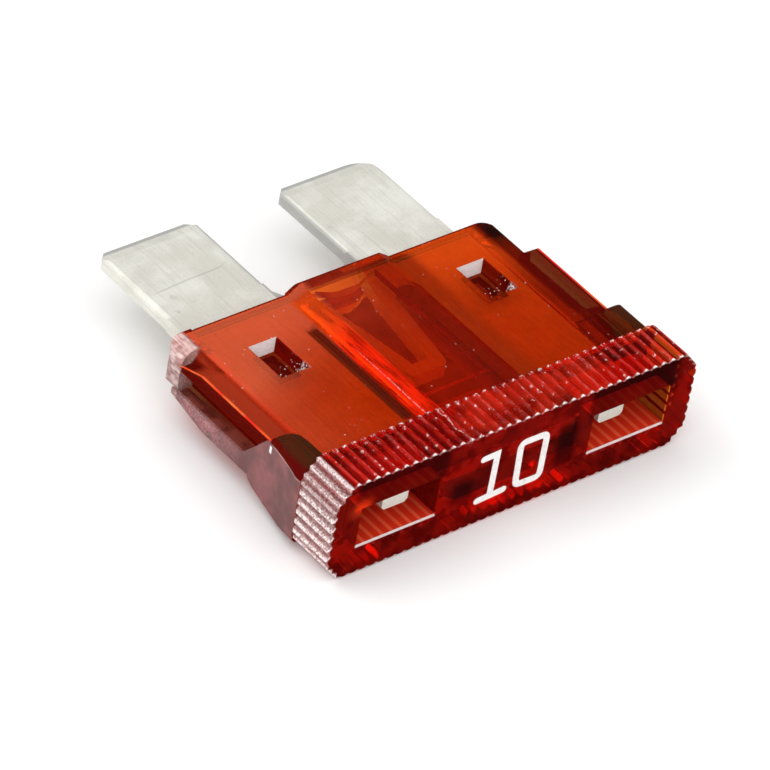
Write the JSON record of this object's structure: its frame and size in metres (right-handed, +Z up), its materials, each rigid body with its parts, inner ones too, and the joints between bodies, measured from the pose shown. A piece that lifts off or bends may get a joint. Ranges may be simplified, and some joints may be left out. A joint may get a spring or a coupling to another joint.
{
  "type": "automotive blade fuse",
  "caption": "Regular blade fuse: clear red moulded housing staked onto a stamped metal strip with two blades and a hairpin fuse element.",
  "frame": {"origin": "under the middle of the fuse's box, on the plane of the head's lowest serrations", "axes": "+X across the two blades, +Y from the label face of the head towards the blade tips, +Z up, square to the broad faces"},
  "size_m": [0.019, 0.0188, 0.0049],
  "materials": {
    "red_plastic": "gloss",
    "coated_zinc": "satin"
  },
  "bodies": {
    "root": {"housing": "red_plastic", "fuse_strip": "coated_zinc"}
  },
  "joints": []
}
